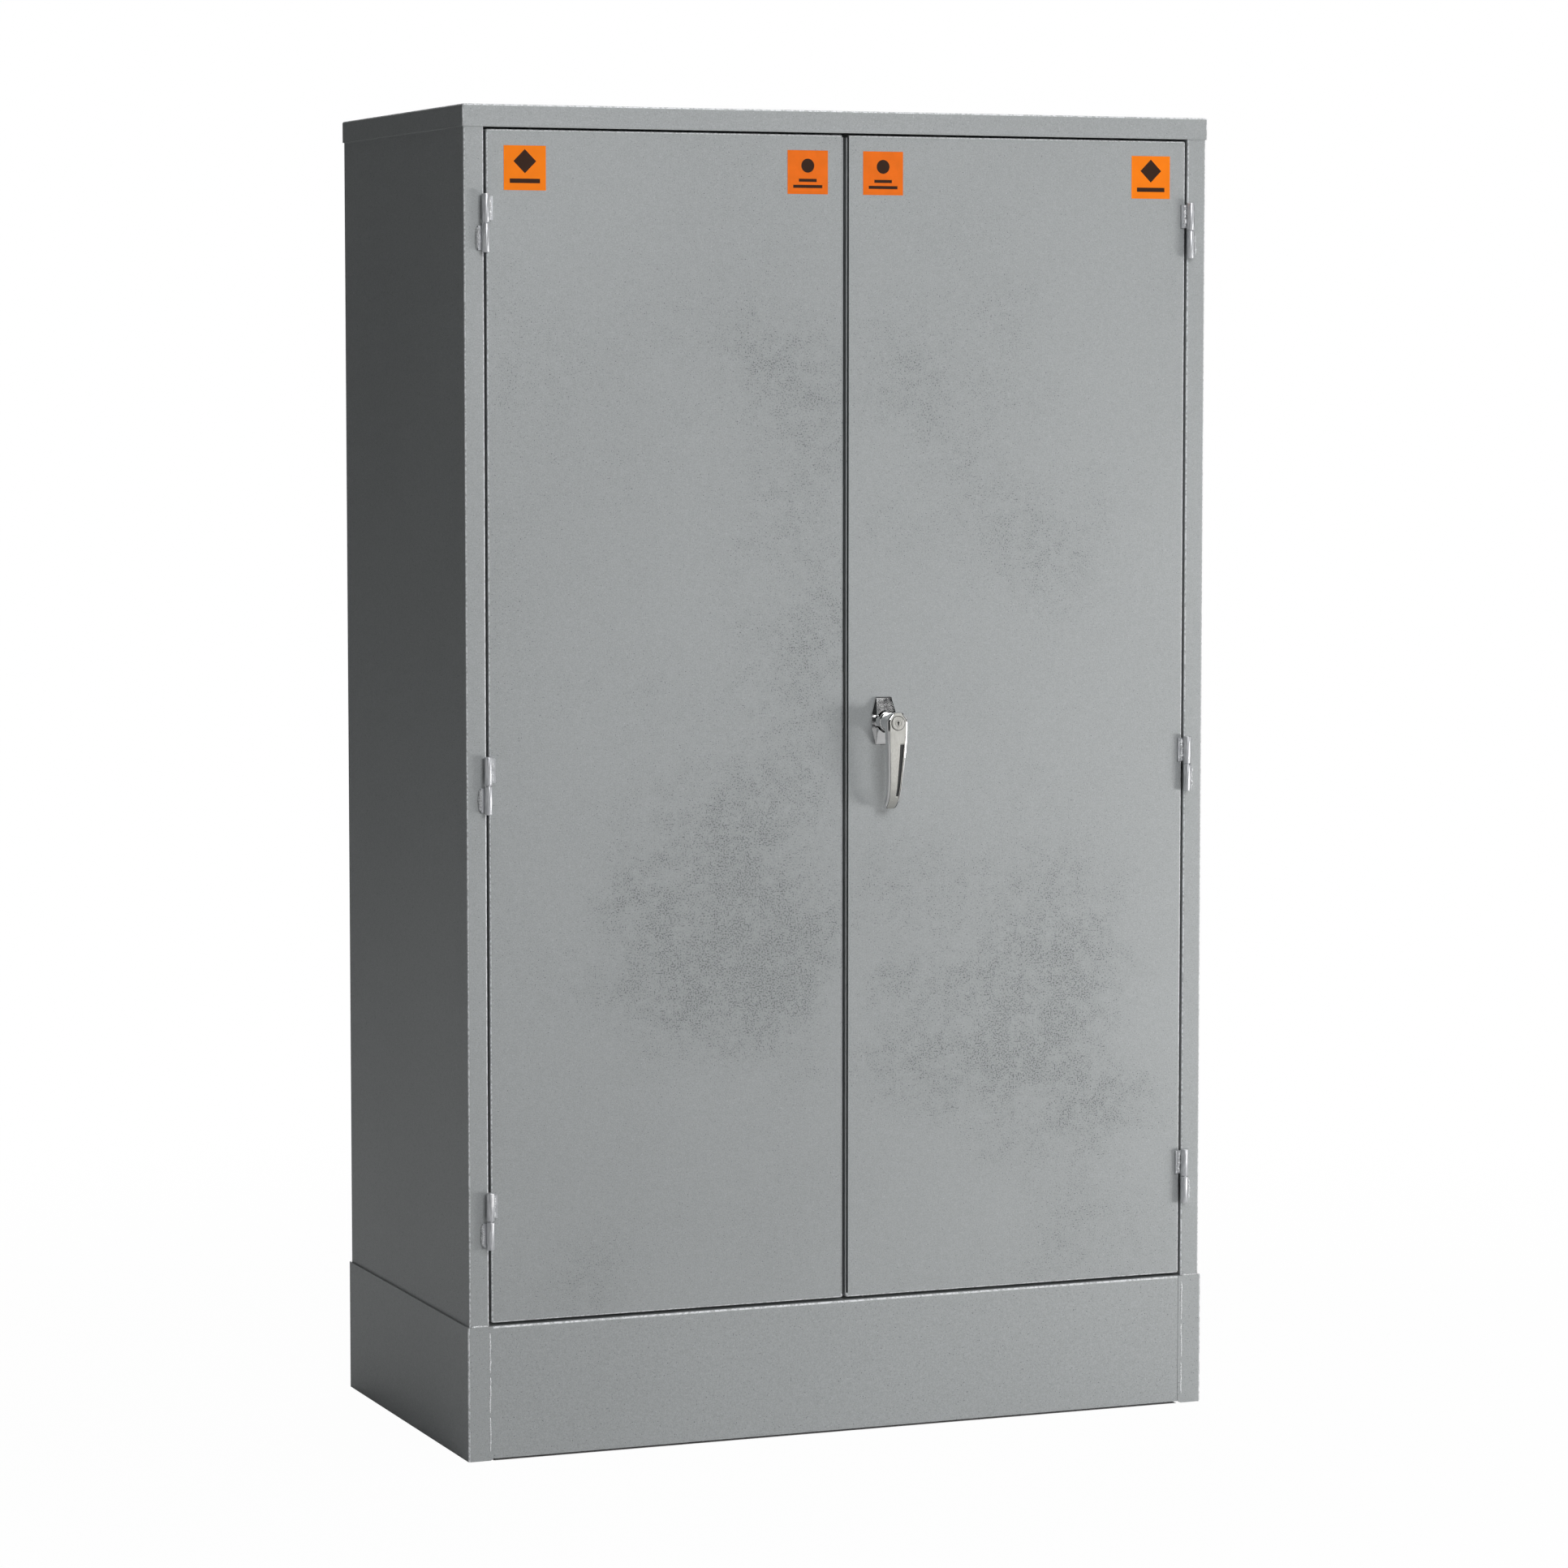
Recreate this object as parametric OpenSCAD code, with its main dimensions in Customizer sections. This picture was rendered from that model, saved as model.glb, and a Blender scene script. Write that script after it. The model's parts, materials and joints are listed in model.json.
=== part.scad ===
// Two-door steel storage cabinet on a plinth, for flammable liquids.
// Millimetres, +Z up, +Y towards the back. The origin is at floor level, on the cabinet's
// centre line and halfway between the face of the lever handle and the back of the plinth.

/* [Cabinet] */
// Width over the side panels
body_w = 915; // [700:5:1200]
// Depth over the side panels
body_d = 457; // [400:1:600]
// Height from the floor to the top of the cap
body_h = 1525; // [1200:5:1900]
// Sheet thickness of the carcass, doors and shelves
sheet = 1.2; // [1:0.1:1.5]
// Outside radius of a fold
fold_r = 2.4; // [2:0.1:3]

/* [Cap and plinth] */
// Depth of the cap's flange, which is also the head of the door opening
cap_h = 25; // [22:1:40]
// Sheet thickness of the cap
cap_t = 1.5; // [1.2:0.1:2]
// Height of the plinth, which is also the sill of the door opening
plinth_h = 153.5; // [120:0.5:200]
// Sheet thickness of the plinth sides, which wrap round the body
plinth_t = 2.5; // [2:0.1:3]
// Width of a plinth side's return across the front
plinth_return = 30; // [28:1:40]

/* [Door opening] */
// Width of the face of a jamb
jamb_w = 23.5; // [20:0.5:40]
// Width of the stop lip behind the doors
stop_w = 12; // [8:1:16]
// Depth of a door pan
door_d = 25; // [25:1:30]
// Gap between a door and its jamb
side_gap = 3; // [2:0.5:5]
// Gap above a door
head_gap = 2.5; // [2:0.5:5]
// Gap below a door
sill_gap = 3.5; // [2:0.5:5]
// Gap between the two doors
meeting_gap = 4; // [3:0.5:6]

/* [Hinges] */
// Diameter of a knuckle
knuckle_d = 9; // [8:0.5:12]
// Diameter of a hinge pin
pin_d = 5; // [4:0.5:6]
// Length of a whole hinge
hinge_h = 65; // [50:1:80]
// How far the pin stands in front of the doors
hinge_out = 8; // [7.5:0.5:10]
// Height of the lower hinge's centre above the foot of the door
lower_hinge = 117.5; // [60:0.5:250]
// Height of the middle hinge's centre above the foot of the door
middle_hinge = 610; // [400:1:650]
// Distance of the upper hinge's centre below the head of the door
upper_hinge = 104; // [60:0.5:250]

/* [Lock] */
// Distance from the meeting edge of the right door to the handle's spindle
backset = 45; // [40:1:60]
// Radius at which the cam drives the lock rods
cam_r = 15; // [12:1:16]
// Diameter of a lock rod
rod_d = 8; // [6:0.5:8]
// Length of the lever from the spindle to its tip
lever_l = 100; // [85:1:120]
// How far the lever's head stands in front of the door
lever_out = 46; // [40:1:55]

/* [Interior] */
// Height of the lip round a shelf
shelf_lip = 25; // [20:1:35]
// Depth of the sump
sump_h = 52; // [40:1:60]
// Pitch of the slots in the shelf uprights
slot_pitch = 50; // [25:5:75]
// Edge of a square hazard label
label_s = 49.5; // [40:0.5:60]

/* [Hidden] */
$fn = 48;
// Overlap of shapes that join, gap between sheets that touch, and a cutter's run past its cut
eps = 0.01;
seam = 0.1;
over = 1;
half_w = body_w / 2;
top_z = body_h - cap_t;
open_hw = half_w - jamb_w;
head_z = body_h - cap_h;
sill_z = plinth_h;

// Depths are measured from the front face of the body: at(d) turns one into a Y.
front_y = -(body_d + plinth_t - lever_out) / 2;
function at(d) = front_y + d;

// Doors
door_hw = open_hw - side_gap;
meet = meeting_gap / 2;
door_z0 = sill_z + sill_gap;
door_z1 = head_z - head_gap;
door_r = 2.4;
door_mid = (door_z0 + door_z1) / 2;
stop_play = 1.2;
stop_d = door_d + stop_play;
spindle_hole_d = 14;

// Hinges: the pin's centre line, the knuckles' length and the lugs that are welded on
hinge_offset = 0.5;
hinge_x = open_hw + hinge_offset;
hinge_y = at(-hinge_out);
hinge_zs = [door_z0 + lower_hinge, door_z0 + middle_hinge, door_z1 - upper_hinge];
half_split = 0.5;
knuckle_h = hinge_h / 2 - half_split;
knuckle_floor = 3;
lug_w = 7.5;
door_lug_w = 9.5;
lug_t = 4;
lug_end = 5;
lug_h = knuckle_h - lug_end;
lug_bite = 0.5;
pin_fit = 0.05;

// Lock: spindle, cam and rods
spindle_x = meet + backset;
spindle_z = door_mid;
spindle_s = 8;
rod_travel = cam_r * sqrt(2);
rod_x = cam_r * (1 + sqrt(0.5)) / 2;
rod_y = 15.5;
rod_tip_play = 2;
rod_fit = 0.35;
keep_w = 40;
keep_t = 3;
cam_y = 8;
cam_t = 3;
cam_pin_d = 5;
cam_screw_r = 2;
cam_washer_t = 1.2;
slot_play = 0.8;
tongue_reach = 12;
tongue_l = spindle_x + meet + tongue_reach;
tongue_w = 12;
hub_r = 11.5;
hub_out = 16;
hub_gap = 0.3;
shank_r = 6;
fit = 0.1;
plate_t = 3;
screw_z = 18;
screw_d = 4;
screw_hole_d = 5.4;
backplate_t = 2;

// Interior
sump_drop = 32;
sump_z = sill_z - sump_drop;
sump_top = sump_z + sump_h;
skirt = 12;
wall_z0 = sump_z - skirt;
wall_gap = 1;
wall_z1 = top_z - wall_gap;
upright_w = 24;
upright_t = 10;
upright_front_gap = 8;
upright_rear_gap = 10;
front_upright_d = stop_d + upright_front_gap;
rear_upright_d = body_d - upright_w - upright_rear_gap;
shelf_play = 2.6;
shelf_w = body_w - 2 * (sheet + upright_t + shelf_play);
shelf_front_gap = 5;
shelf_rear_gap = 8;
shelf_d0 = stop_d + shelf_front_gap;
shelf_d1 = body_d - shelf_rear_gap;
shelf_count = 3;
shelf_step = (head_z - sill_z) / (shelf_count + 1);
function shelf_z(i) = sill_z + round((i + 1) * shelf_step / slot_pitch) * slot_pitch;
clip_w = 14;
slot_h = 14;

// Labels and small fastenings
label_drop = 45;
label_z = head_z - label_drop;
label_in = 46.5;
label_out = 386;
label_t = 0.25;
mount_gap = 0.05;

// Lock cylinder: its face and its stem, and the plug that turns in it
barrel_r = 7.95;
barrel_d = 9;
barrel_end = 20;
stem_r = 4.9;
plug_r = 3.52;
plug_fit = 0.08;

// Thickness of the plinth's front and back, and of the sill
front_t = 2;

// ---------------------------------------------------------------- folded sheet

// One 90 degree fold in plan, centred at p, in the quadrant that turns by a from +X+Y.
module fold(p, a, t = sheet, r = fold_r) {
    translate(p) rotate(a) intersection() {
        difference() {
            circle(r);
            circle(r - t);
        }
        square(r);
    }
}

// A rectangle from corner a to corner b, in plan.
module span(a, b) {
    translate(a) square(b - a);
}

// A box from corner a to corner b.
module block(a, b) {
    translate(a) cube(b - a);
}

// A block whose top edges and upright edges are rounded, standing on z = 0.
module soft_block(size, r) {
    w = size[0];
    d = size[1];
    h = size[2];
    block([r, r, 0], [w - r, d - r, h]);
    block([0, r, 0], [w, d - r, h - r]);
    block([r, 0, 0], [w - r, d, h - r]);
    for (x = [r, w - r], y = [r, d - r]) {
        translate([x, y, 0]) cylinder(r = r, h = h - r);
        translate([x, y, h - r]) sphere(r);
    }
    for (x = [r, w - r])
        translate([x, r, h - r]) rotate([-90, 0, 0]) cylinder(r = r, h = d - 2 * r);
    for (y = [r, d - r])
        translate([r, y, h - r]) rotate([0, 90, 0]) cylinder(r = r, h = w - 2 * r);
}

// An open pan with its mouth at z = 0 and rounded edges round its closed face.
module pan(size, t, r) {
    difference() {
        soft_block(size, r);
        translate([t, t, -over])
            soft_block([size[0] - 2 * t, size[1] - 2 * t, size[2] - t + over], r - t);
    }
}

// ---------------------------------------------------------------- carcass

// Left side panel in plan: outer wall, face of the jamb, return into the opening, rear flange.
module side_profile() {
    rear_flange = 20;
    span([0, fold_r], [sheet, body_d - fold_r]);
    fold([fold_r, fold_r], 180);
    span([fold_r, 0], [jamb_w - fold_r, sheet]);
    fold([jamb_w - fold_r, fold_r], 270);
    span([jamb_w - sheet, fold_r], [jamb_w, stop_d + sheet - fold_r]);
    fold([fold_r, body_d - fold_r], 90);
    span([fold_r, body_d - sheet], [rear_flange, body_d]);
}

// The lip that the doors close against, at the back of the jamb's return.
module stop_profile() {
    fold([jamb_w - sheet + fold_r, stop_d + sheet - fold_r], 90);
    span([jamb_w - sheet + fold_r, stop_d], [jamb_w + stop_w, stop_d + sheet]);
}

module side_panel() {
    foot_t = 2;
    lip_play = 4;
    lip_z0 = sump_top + lip_play;
    lip_z1 = head_z - stop_w - lip_play;
    color("darkgray") translate([-half_w, front_y, 0]) {
        translate([0, 0, wall_z0]) linear_extrude(wall_z1 - wall_z0) side_profile();
        // foot plate that closes the hollow jamb beside the sill
        block([sheet - eps, sheet - eps, sill_z - foot_t],
              [jamb_w - sheet + eps, stop_d + 2 * sheet, sill_z]);
        translate([0, 0, lip_z0]) linear_extrude(lip_z1 - lip_z0) stop_profile();
    }
}

module other_side() {
    mirror([1, 0, 0]) children();
}

module back_panel() {
    inset = 2.6;
    color("darkgray")
        block([-half_w + inset, at(body_d - 2 * sheet - seam), wall_z0],
              [half_w - inset, at(body_d - sheet - seam), top_z - 3 * seam]);
}

module top_cap() {
    color("darkgray") translate([-half_w - cap_t, at(-cap_t), head_z])
        pan([body_w + 2 * cap_t, body_d + 2 * cap_t, cap_h], cap_t, fold_r);
}

// Folded rail over the doors: face behind the cap's flange, soffit and stop lip.
module door_head() {
    hw = open_hw - 2 * seam;
    rail_gap = 2;
    rail_top = top_z - rail_gap;
    color("darkgray") difference() {
        translate([-hw, 0, 0]) rotate([90, 0, 90]) linear_extrude(2 * hw) {
            span([at(seam), head_z + fold_r], [at(seam + sheet), rail_top]);
            fold([at(seam + fold_r), head_z + fold_r], 180);
            span([at(seam + fold_r), head_z], [at(stop_d + sheet - fold_r), head_z + sheet]);
            fold([at(stop_d + sheet - fold_r), head_z + sheet - fold_r], 0);
            span([at(stop_d), head_z - stop_w], [at(stop_d + sheet), head_z + sheet - fold_r]);
        }
        rod_hole(spindle_x + rod_x, head_z);
    }
}

module rod_hole(x, z) {
    play = 2;
    deep = 10;
    translate([x, at(rod_y), z - deep / 2]) cylinder(d = rod_d + play, h = deep);
}

module plinth_side() {
    outer_extra = 0.6;
    o = plinth_t;
    r = fold_r + outer_extra;
    d = body_d + 2 * o;
    foot_w = 22;
    corner_r = 5;
    color("darkgray") translate([-half_w - o, at(-o), 0]) difference() {
        union() {
            linear_extrude(plinth_h) {
                span([0, r], [o, d - r]);
                fold([r, r], 180, o, r);
                span([r, 0], [plinth_return, o]);
                fold([r, d - r], 90, o, r);
                span([r, d - o], [plinth_return, d]);
            }
            block([o - eps, o - eps, 0], [foot_w, d - o + eps, o]);
        }
        rounded_corner(plinth_return, 0, corner_r);
        rounded_corner(plinth_return, d - o, corner_r);
    }
}

// Cuts the free lower corner of a return to a radius. x is its free edge and y its nearer face.
module rounded_corner(x, y, r) {
    translate([x - r, y - over, r]) rotate([-90, 0, 0]) difference() {
        cube([r + over, r + over, plinth_t + 2 * over]);
        translate([0, 0, -over]) cylinder(r = r, h = plinth_t + 4 * over);
    }
}

// Front of the plinth: face, and the sill folded back under the doors.
module plinth_front() {
    hw = half_w + plinth_t - plinth_return;
    sill_hw = open_hw - 2 * seam;
    t = front_t;
    r = 3;
    color("darkgray") difference() {
        union() {
            translate([-hw, 0, 0]) rotate([90, 0, 90]) linear_extrude(2 * hw) {
                span([at(-t), t], [at(0), sill_z - r]);
                fold([at(r - t), sill_z - r], 90, t, r);
            }
            block([-hw, at(r - t), sill_z - t], [hw, at(stop_d), sill_z]);
            block([-sill_hw, at(seam), sill_z - t], [sill_hw, at(stop_d), sill_z - eps]);
        }
        rod_hole(spindle_x - rod_x, sill_z);
    }
}

module plinth_back() {
    hw = half_w + plinth_t - plinth_return;
    t = front_t;
    gap = 2 * seam;
    color("darkgray")
        block([-hw, at(body_d + gap), t], [hw, at(body_d + gap + t), plinth_h - sheet - t]);
}

// Leakproof tray that is the cabinet's floor; its front wall is the doors' lower stop.
module sump_tray() {
    t = sheet;
    play = 0.6;
    hw = half_w - sheet - play;
    d0 = stop_d + 2 * sheet + 2 * seam;
    d1 = body_d - 2 * sheet - play;
    color("darkgray") difference() {
        block([-hw, at(d0), sump_z], [hw, at(d1), sump_top]);
        block([-hw + t, at(d0 + t), sump_z + t], [hw - t, at(d1 - t), sump_top + over]);
    }
}

// ---------------------------------------------------------------- interior

// Slotted strip that carries the shelf clips, spot-welded to the side panel above the sump.
module upright(d) {
    x0 = -half_w + sheet;
    foot_gap = 6;
    head_gap_in = 15;
    z0 = sump_top + foot_gap;
    z1 = head_z - head_gap_in;
    first_slot = 2;
    end_margin = 45;
    slots = floor((z1 - z0 - end_margin) / slot_pitch);
    mid = at(d + upright_w / 2);
    side_play = 1;
    reach = clip_w / 2 + side_play;
    color("darkgray") difference() {
        translate([x0, at(d), z0]) linear_extrude(z1 - z0) difference() {
            square([upright_t, upright_w]);
            translate([-over, sheet]) square([upright_t + over - sheet, upright_w - 2 * sheet]);
        }
        for (i = [first_slot : slots])
            block([x0 + upright_t - sheet - over, mid - reach, sill_z + i * slot_pitch - slot_h],
                  [x0 + upright_t + over, mid + reach, sill_z + i * slot_pitch]);
    }
}

// Shelf tray with a lip all round, its floor's underside at z.
module shelf(z) {
    hw = shelf_w / 2;
    t = sheet;
    color("darkgray") difference() {
        block([-hw, at(shelf_d0), z], [hw, at(shelf_d1), z + shelf_lip]);
        block([-hw + t, at(shelf_d0 + t), z + t], [hw - t, at(shelf_d1 - t), z + shelf_lip + over]);
    }
}

// A clip that hooks through a slot and carries a corner of a shelf. z is the shelf's underside.
module shelf_clip(z, d) {
    face = -half_w + sheet + upright_t + seam;
    y0 = at(d + upright_w / 2 - clip_w / 2);
    y1 = y0 + clip_w;
    t = 1.6;
    ledge = 16;
    hook = sheet + 2 * seam;
    hook_low = 4;
    hook_z = z - hook_low;
    hook_drop = 8;
    block([face, y0, z - ledge], [face + t, y1, z - seam]);
    block([face, y0, z - seam - t], [face + ledge, y1, z - seam]);
    block([face - hook - t, y0, hook_z], [face + seam, y1, hook_z + t]);
    block([face - hook - t, y0, hook_z - hook_drop], [face - hook, y1, hook_z + t]);
}

module shelf_clips() {
    color("silver") for (i = [0 : shelf_count - 1], d = [front_upright_d, rear_upright_d]) {
        shelf_clip(shelf_z(i), d);
        other_side() shelf_clip(shelf_z(i), d);
    }
}

// Rubber dots on the stop lips that the doors close against.
module door_buffers() {
    r = 4;
    inset = 6.4;
    x = open_hw - inset;
    end = 190;
    low = 60;
    color("dimgray") for (side = [-1, 1], z = [door_z0 + end, door_mid - low, door_z1 - end])
        translate([side * x, at(door_d + seam), z])
            rotate([-90, 0, 0]) cylinder(r = r, h = stop_d - door_d - 2 * seam);
}

// ---------------------------------------------------------------- hinges

// Everything on a hinge is drawn for the left door, about its own centre.
module hinge_places() {
    for (z = hinge_zs) translate([-hinge_x, hinge_y, z]) children();
}

// A knuckle whose foot is at z0, with its bore from bore[0] to bore[1] above that.
module knuckle_tube(z0, bore) {
    chamfer = 0.6;
    r = knuckle_d / 2;
    translate([0, 0, z0]) difference() {
        rotate_extrude() polygon([[0, 0], [r - chamfer, 0], [r, chamfer], [r, knuckle_h - chamfer],
                                  [r - chamfer, knuckle_h], [0, knuckle_h]]);
        translate([0, 0, bore[0]]) cylinder(d = pin_d + 2 * pin_fit, h = bore[1] - bore[0]);
    }
}

// Upper half of each hinge, whose lug is welded to the door.
module door_knuckles() {
    color("silver") hinge_places() {
        knuckle_tube(half_split, [-over, knuckle_h - knuckle_floor]);
        difference() {
            block([0, hinge_out - lug_t, knuckle_floor],
                  [door_lug_w, hinge_out, knuckle_floor + lug_h]);
            translate([0, 0, -over]) cylinder(d = knuckle_d - 2 * lug_bite, h = hinge_h);
        }
    }
}

// Lower half of each hinge, whose lug is welded to the jamb.
module frame_knuckles() {
    color("silver") hinge_places() {
        knuckle_tube(-knuckle_h - half_split, [knuckle_floor, knuckle_h + over]);
        difference() {
            block([-lug_w, hinge_out - lug_t, -knuckle_floor - lug_h], [0, hinge_out, -knuckle_floor]);
            translate([0, 0, -hinge_h]) cylinder(d = knuckle_d - 2 * lug_bite, h = hinge_h + over);
        }
    }
}

// Each pin is fixed in the lower knuckle, and the door lifts off it.
module hinge_pins() {
    head_play = 5;
    pin_h = 2 * knuckle_h - knuckle_floor - head_play;
    color("silver") hinge_places()
        translate([0, 0, knuckle_floor - knuckle_h]) cylinder(d = pin_d, h = pin_h);
}

// ---------------------------------------------------------------- doors

// Folded door pan from the meeting edge to the hinge edge, drawn for the right door.
module door_pan() {
    w = door_hw - meet;
    h = door_z1 - door_z0;
    lip = 14;
    translate([meet, at(door_d), door_z0]) rotate([90, 0, 0]) union() {
        pan([w, h, door_d], sheet, door_r);
        linear_extrude(sheet) difference() {
            span([sheet / 2, door_r], [w - sheet / 2, h - door_r]);
            span([lip, lip], [w - lip, h - lip]);
        }
    }
}

// Opening in the meeting edges through which the cam's tongue passes, as it turns down.
module tongue_slot() {
    past = 3;
    play = 1;
    foot = 2;
    rise = 56;
    block([-meet - past, at(cam_y - play), spindle_z - tongue_w / 2 - foot],
          [meet + past, at(cam_y + cam_t + play), spindle_z + rise]);
}

module door_skin_right() {
    deep = 12;
    rod_hole_d = rod_d + 1;
    color("darkgray") difference() {
        door_pan();
        tongue_slot();
        translate([spindle_x, at(-deep / 2), spindle_z]) rotate([-90, 0, 0])
            cylinder(d = spindle_hole_d, h = deep);
        for (s = [-1, 1]) {
            translate([spindle_x, at(-deep / 2), spindle_z + s * screw_z]) rotate([-90, 0, 0])
                cylinder(d = screw_hole_d, h = deep);
            translate([spindle_x + s * rod_x, at(rod_y), (s > 0 ? door_z1 : door_z0) - deep / 2])
                cylinder(d = rod_hole_d, h = deep);
        }
    }
}

module door_skin_left() {
    color("darkgray") difference() {
        other_side() door_pan();
        tongue_slot();
    }
}

// Top-hat channel up the middle of a door, spot-welded to the inside of its skin.
module door_stiffener() {
    x = (door_hw + meet) / 2;
    hat_w = 50;
    brim = 15;
    hat_d = 14;
    end = 12;
    color("darkgray") translate([x, at(sheet + mount_gap), door_z0 + end])
        linear_extrude(door_z1 - door_z0 - 2 * end) {
            for (m = [0, 1]) mirror([m, 0]) {
                span([hat_w / 2 - sheet, 0], [hat_w / 2, hat_d]);
                span([hat_w / 2 - sheet, 0], [hat_w / 2 + brim, sheet]);
            }
            span([-hat_w / 2, hat_d - sheet], [hat_w / 2, hat_d]);
        }
}

// Square vinyl label on a door face, its centre at x.
module label(x) {
    gap = 0.02;
    color("orange") block([x - label_s / 2, at(-label_t - gap), label_z - label_s / 2],
                          [x + label_s / 2, at(-gap), label_z + label_s / 2]);
}

// ---------------------------------------------------------------- handle and lock

// The handle's parts are drawn about the spindle's line, with depth along +Y from the door face.
module at_spindle() {
    translate([spindle_x, front_y, spindle_z]) children();
}

// A disc or tube on the spindle's line, from depth d0 to depth d1.
module round_part(d0, d1, r, hole = 0) {
    translate([0, d0, 0]) rotate([-90, 0, 0]) difference() {
        cylinder(r = r, h = d1 - d0);
        if (hole > 0) translate([0, 0, -over]) cylinder(r = hole, h = d1 - d0 + 2 * over);
    }
}

// Long eight-sided outline of the escutcheon: h tall, w wide, with its ends narrowed to e.
module escutcheon_outline(w, h, e) {
    polygon([[-e / 2, -h / 2], [e / 2, -h / 2], [w / 2, -h / 6], [w / 2, h / 6],
             [e / 2, h / 2], [-e / 2, h / 2], [-w / 2, h / 6], [-w / 2, -h / 6]]);
}

module plate(d0, d1) {
    translate([0, d1, 0]) rotate([90, 0, 0]) linear_extrude(d1 - d0) children();
}

module escutcheon() {
    plate_h = 55;
    plate_w = 28.5;
    plate_end = 19.5;
    ring_r = hub_r + 1.8;
    bore_d = 7.5;
    color("silver") at_spindle() difference() {
        union() {
            plate(-plate_t, -mount_gap) escutcheon_outline(plate_w, plate_h, plate_end);
            for (m = [0, 1]) mirror([0, 0, m]) difference() {
                escutcheon_wedge(plate_h / 2);
                round_part(-hub_out - over, -plate_t, ring_r);
            }
            round_part(-hub_out, eps - plate_t, hub_r);
        }
        round_part(-hub_out - over, over, shank_r + fit);
        for (s = [-1, 1])
            translate([0, 0, s * screw_z]) round_part(-bore_d, over, screw_d / 2 + fit);
    }
}

// Block that rises from the plate's upper end to the hub.
module escutcheon_wedge(end_z) {
    low = [19, 4];
    high = [23, 14];
    foot_z = 7;
    slice = 0.5;
    inset = 1;
    back_d = 1;
    hull() {
        translate([-low[0] / 2, -low[1], end_z - inset - slice]) cube([low[0], low[1] - back_d, slice]);
        translate([-high[0] / 2, -high[1], foot_z]) cube([high[0], high[1] - back_d, slice]);
    }
}

module lock_backplate() {
    size = [30, 56];
    hole_d = 13;
    color("silver") at_spindle() plate(sheet + mount_gap, sheet + mount_gap + backplate_t) difference() {
        square(size, center = true);
        circle(d = hole_d);
        for (s = [-1, 1]) translate([0, s * screw_z]) circle(d = screw_hole_d);
    }
}

module escutcheon_screws() {
    head_d0 = sheet + backplate_t + 2 * mount_gap;
    head_t = 2.4;
    tip_d = -6.5;
    color("silver") at_spindle() for (s = [-1, 1]) translate([0, 0, s * screw_z]) {
        round_part(tip_d, head_d0 + over, screw_d / 2);
        round_part(head_d0, head_d0 + head_t, screw_d);
    }
}

// Lever: a flat head round the lock, a tapering shank and a tip that curls in to the door.
module lever_handle() {
    head_r = 13;
    head_t = 12;
    neck_r = 8.2;
    neck_t = 8.5;
    tip_r = 8;
    shank_end = 2;
    well = 4;
    bend = [0, 7, -lever_l * 0.8];
    tip = [0, 17, tip_r - lever_l];
    color("silver") at_spindle() difference() {
        union() {
            hull() {
                round_part(-lever_out, -lever_out + head_t, head_r);
                translate(bend) round_part(-lever_out, -lever_out + neck_t, neck_r);
            }
            hull() {
                translate(bend) round_part(-lever_out, -lever_out + neck_t, neck_r);
                translate(tip) round_part(-lever_out, -lever_out + tip_r, tip_r);
            }
            round_part(-lever_out + head_t - over, -hub_out - hub_gap, hub_r - 1);
            round_part(-hub_out - over, -shank_end, shank_r);
        }
        round_part(-lever_out - over, -lever_out + barrel_d, barrel_r + mount_gap);
        round_part(-lever_out + barrel_d - seam, -lever_out + barrel_end + well, stem_r + seam);
        spindle_hole();
    }
}

// Square hole that takes the spindle, from inside the lever's neck to its end.
module spindle_hole() {
    s = spindle_s + fit;
    deep = 5;
    translate([-s / 2, -hub_out - deep, -s / 2]) cube([s, hub_out + 2 * deep, s]);
}

module spindle() {
    s = spindle_s;
    inside = 4.5;
    tapped = 6;
    color("silver") at_spindle() difference() {
        translate([-s / 2, -hub_out - inside, -s / 2]) cube([s, hub_out + inside + cam_y + cam_t, s]);
        round_part(cam_y - tapped, cam_y + cam_t + over, cam_screw_r + fit);
    }
}

// Cam plate with a driving pin for each rod and a tongue that turns behind the left door's edge.
module cam() {
    s = spindle_s + fit;
    boss_r = 11;
    arm_r = 5.5;
    pin_root = 0.5;
    pin_l = 7.5;
    color("silver") at_spindle() {
        plate(cam_y, cam_y + cam_t) difference() {
            union() {
                circle(r = boss_r);
                for (a = [-45, 135]) rotate(a) span([0, -arm_r], [cam_r, arm_r]);
                for (a = [-45, 135]) rotate(a) translate([cam_r, 0]) circle(r = arm_r);
                span([-tongue_w / 2, 0], [tongue_w / 2, tongue_l - tongue_w / 2]);
                translate([0, tongue_l - tongue_w / 2]) circle(d = tongue_w);
            }
            square(s, center = true);
        }
        for (a = [-45, 135])
            translate([cam_r * cos(a), 0, cam_r * sin(a)])
                round_part(cam_y + cam_t - pin_root, cam_y + cam_t + pin_l, cam_pin_d / 2);
    }
}

module cam_washer() {
    outer_r = 7;
    hole_r = cam_screw_r + 0.3;
    d0 = cam_y + cam_t + mount_gap;
    color("silver") at_spindle() round_part(d0, d0 + cam_washer_t, outer_r, hole_r);
}

module cam_screw() {
    head_r = 4;
    head_t = 3;
    root = 5;
    d0 = cam_y + cam_t + cam_washer_t + 2 * mount_gap;
    color("silver") at_spindle() {
        round_part(cam_y - root, d0 + over, cam_screw_r);
        round_part(d0, d0 + head_t, head_r);
    }
}

// Lock cylinder's housing, pressed into the lever's head.
module lock_barrel() {
    proud = 0.8;
    color("silver") at_spindle() difference() {
        union() {
            round_part(-lever_out - proud, -lever_out + barrel_d - seam, barrel_r);
            round_part(-lever_out + barrel_d - over, -lever_out + barrel_end, stem_r);
        }
        round_part(-lever_out - 2 * over, -lever_out + barrel_end + over, plug_r + plug_fit);
    }
}

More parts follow.
